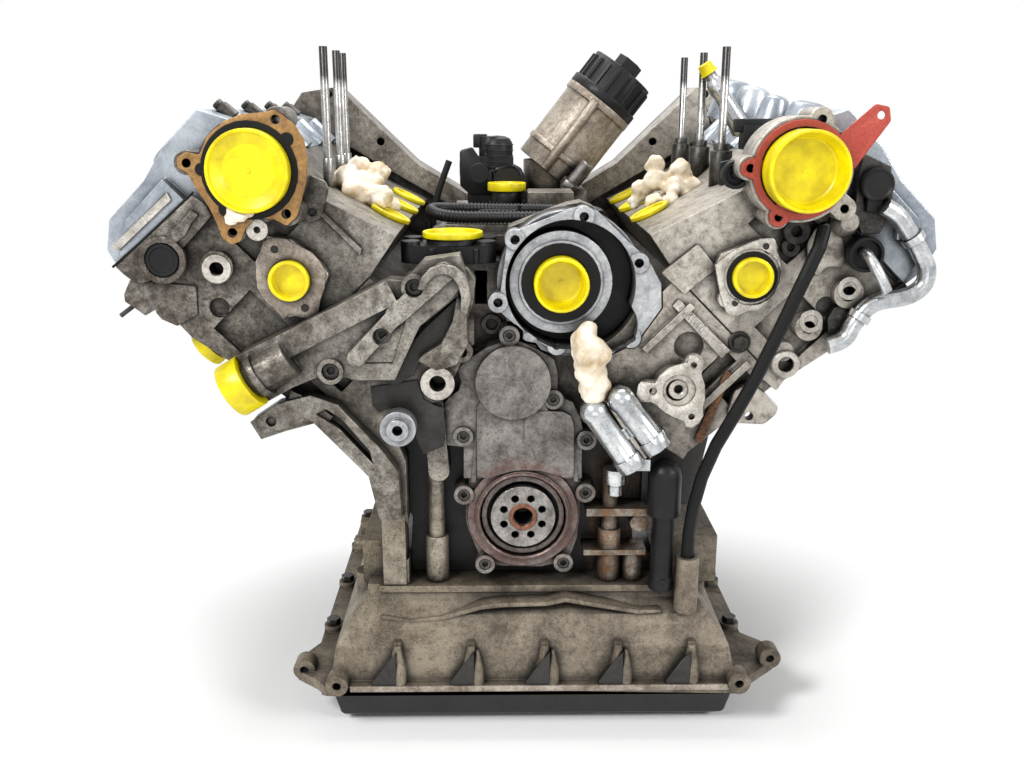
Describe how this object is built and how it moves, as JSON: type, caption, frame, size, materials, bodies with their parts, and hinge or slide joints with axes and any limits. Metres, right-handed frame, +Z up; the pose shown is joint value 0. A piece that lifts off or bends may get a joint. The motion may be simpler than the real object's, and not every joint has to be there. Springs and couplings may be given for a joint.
{
  "type": "car engine",
  "caption": "Bare V engine with ninety degree banks, timing drive at the rear, bolted front covers, pressed steel sump and bright transport caps in its open ports.",
  "frame": {"origin": "middle of the crankshaft flange's front face", "axes": "+X across the engine towards the bank with the red gasket, +Y along the crankshaft to the gearbox end, +Z up"},
  "size_m": [0.6576, 0.462, 0.5802],
  "materials": {
    "block_casting": "rough, oily",
    "main_caps": "machined",
    "fasteners": "satin",
    "pan_casting": "rough, grimy",
    "pan_steel": "satin black",
    "cover_casting": "rough cast",
    "seal_rubber": "matte",
    "machined_steel": "turned",
    "piston_alloy": "machined",
    "housing_casting": "rough cast",
    "bright_alloy": "satin",
    "transport_cap": "soft sheen",
    "gasket_steel": "dull",
    "head_casting": "rough cast",
    "black_screws": "matte",
    "tan_gasket": "dull",
    "black_plastic": "matte",
    "hose_rubber": "satin",
    "foam": "matte",
    "rod_steel": "satin",
    "socket_steel": "dull",
    "filter_paper": "matte"
  },
  "bodies": {
    "engine": {"engine_block": "block_casting", "main_caps": "main_caps", "main_cap_bolts": "fasteners", "upper_pan": "pan_casting", "lower_pan": "pan_steel", "pan_bolts": "fasteners", "seal_cover": "cover_casting", "socket_screws": "black_screws", "crank_seals": "seal_rubber", "oil_pump": "cover_casting", "pickup_pipe": "machined_steel", "pump_housing": "housing_casting", "head_gaskets": "gasket_steel", "head_left": "head_casting", "head_right": "head_casting", "cover_left": "bright_alloy", "cover_right": "bright_alloy", "idler_pin": "fasteners", "timing_chains": "machined_steel", "timing_case": "cover_casting", "timing_cover": "cover_casting", "coolant_arm": "head_casting", "left_bracket": "head_casting", "left_roller": "housing_casting", "port_gaskets": "tan_gasket", "port_flanges": "housing_casting", "small_caps": "transport_cap", "cam_plugs": "black_plastic", "coolant_pipes": "bright_alloy", "pressure_tube": "black_plastic", "guide_tube": "hose_rubber", "foam_plugs": "foam", "long_rods": "rod_steel", "rod_sockets": "socket_steel", "filter_housing": "housing_casting", "filter_element": "filter_paper", "valley_cover": "housing_casting", "breather": "black_plastic", "thermostat": "black_plastic", "conduit": "black_plastic", "exhaust_studs": "fasteners", "pipe_loop": "bright_alloy", "side_plate": "socket_steel"},
    "crank": {"crankshaft": "machined_steel", "crank_sprocket": "machined_steel"},
    "idler": {"idler_sprocket": "machined_steel"},
    "intake_cam_left": {"cam_intake_left": "machined_steel"},
    "exhaust_cam_left": {"cam_exhaust_left": "machined_steel"},
    "intake_cam_right": {"cam_intake_right": "machined_steel"},
    "exhaust_cam_right": {"cam_exhaust_right": "machined_steel"},
    "oil_filter_cap": {"filter_cap": "black_plastic"},
    "big_cap_left": {"port_cap_left": "transport_cap"},
    "big_cap_right": {"port_cap_right": "transport_cap"},
    "big_cap_pump": {"pump_cap": "transport_cap"},
    "piston_l1_body": {"piston_l1": "piston_alloy"},
    "piston_l2_body": {"piston_l2": "piston_alloy"},
    "piston_l3_body": {"piston_l3": "piston_alloy"},
    "piston_r1_body": {"piston_r1": "piston_alloy"},
    "piston_r2_body": {"piston_r2": "piston_alloy"},
    "piston_r3_body": {"piston_r3": "piston_alloy"}
  },
  "joints": [
    {"name": "crank_spin", "type": "hinge", "parent": "engine", "child": "crank", "pos_m": [0, 0, 0], "axis": [0, 1, 0], "continuous": true},
    {"name": "idler_spin", "type": "hinge", "parent": "engine", "child": "idler", "pos_m": [0, 0.36, 0.12], "axis": [0, 1, 0], "continuous": true},
    {"name": "intake_cam_left_spin", "type": "hinge", "parent": "engine", "child": "intake_cam_left", "pos_m": [-0.22345, 0.17, 0.27436], "axis": [0, 1, 0], "continuous": true},
    {"name": "exhaust_cam_left_spin", "type": "hinge", "parent": "engine", "child": "exhaust_cam_left", "pos_m": [-0.27436, 0.17, 0.22345], "axis": [0, 1, 0], "continuous": true},
    {"name": "intake_cam_right_spin", "type": "hinge", "parent": "engine", "child": "intake_cam_right", "pos_m": [0.22345, 0.17, 0.27436], "axis": [0, 1, 0], "continuous": true},
    {"name": "exhaust_cam_right_spin", "type": "hinge", "parent": "engine", "child": "exhaust_cam_right", "pos_m": [0.27436, 0.17, 0.22345], "axis": [0, 1, 0], "continuous": true},
    {"name": "piston_l1_slide", "type": "slide", "parent": "engine", "child": "piston_l1_body", "axis": [-0.7071, 0, 0.7071], "range_m": [-0.02098, 0.07182]},
    {"name": "piston_l2_slide", "type": "slide", "parent": "engine", "child": "piston_l2_body", "axis": [-0.7071, 0, 0.7071], "range_m": [-0.01505, 0.07775]},
    {"name": "piston_l3_slide", "type": "slide", "parent": "engine", "child": "piston_l3_body", "axis": [-0.7071, 0, 0.7071], "range_m": [-0.09257, 0.00023]},
    {"name": "piston_r1_slide", "type": "slide", "parent": "engine", "child": "piston_r1_body", "axis": [0.7071, 0, 0.7071], "range_m": [-0.09257, 0.00023]},
    {"name": "piston_r2_slide", "type": "slide", "parent": "engine", "child": "piston_r2_body", "axis": [0.7071, 0, 0.7071], "range_m": [-0.02098, 0.07182]},
    {"name": "piston_r3_slide", "type": "slide", "parent": "engine", "child": "piston_r3_body", "axis": [0.7071, 0, 0.7071], "range_m": [-0.01505, 0.07775]},
    {"name": "filter_cap_lift", "type": "slide", "parent": "engine", "child": "oil_filter_cap", "axis": [0.6157, 0, 0.788], "range_m": [0, 0.12]},
    {"name": "left_cap_pull", "type": "slide", "parent": "engine", "child": "big_cap_left", "axis": [0, -1, 0], "range_m": [0, 0.06]},
    {"name": "right_cap_pull", "type": "slide", "parent": "engine", "child": "big_cap_right", "axis": [0, -1, 0], "range_m": [0, 0.06]},
    {"name": "pump_cap_pull", "type": "slide", "parent": "engine", "child": "big_cap_pump", "axis": [0, -1, 0], "range_m": [0, 0.06]}
  ],
  "couplings": [
    {"joint": "idler_spin", "follows": "crank_spin", "ratio": 0.5},
    {"joint": "intake_cam_left_spin", "follows": "crank_spin", "ratio": 0.5},
    {"joint": "exhaust_cam_left_spin", "follows": "crank_spin", "ratio": -0.5},
    {"joint": "intake_cam_right_spin", "follows": "crank_spin", "ratio": 0.5},
    {"joint": "exhaust_cam_right_spin", "follows": "crank_spin", "ratio": -0.5}
  ]
}
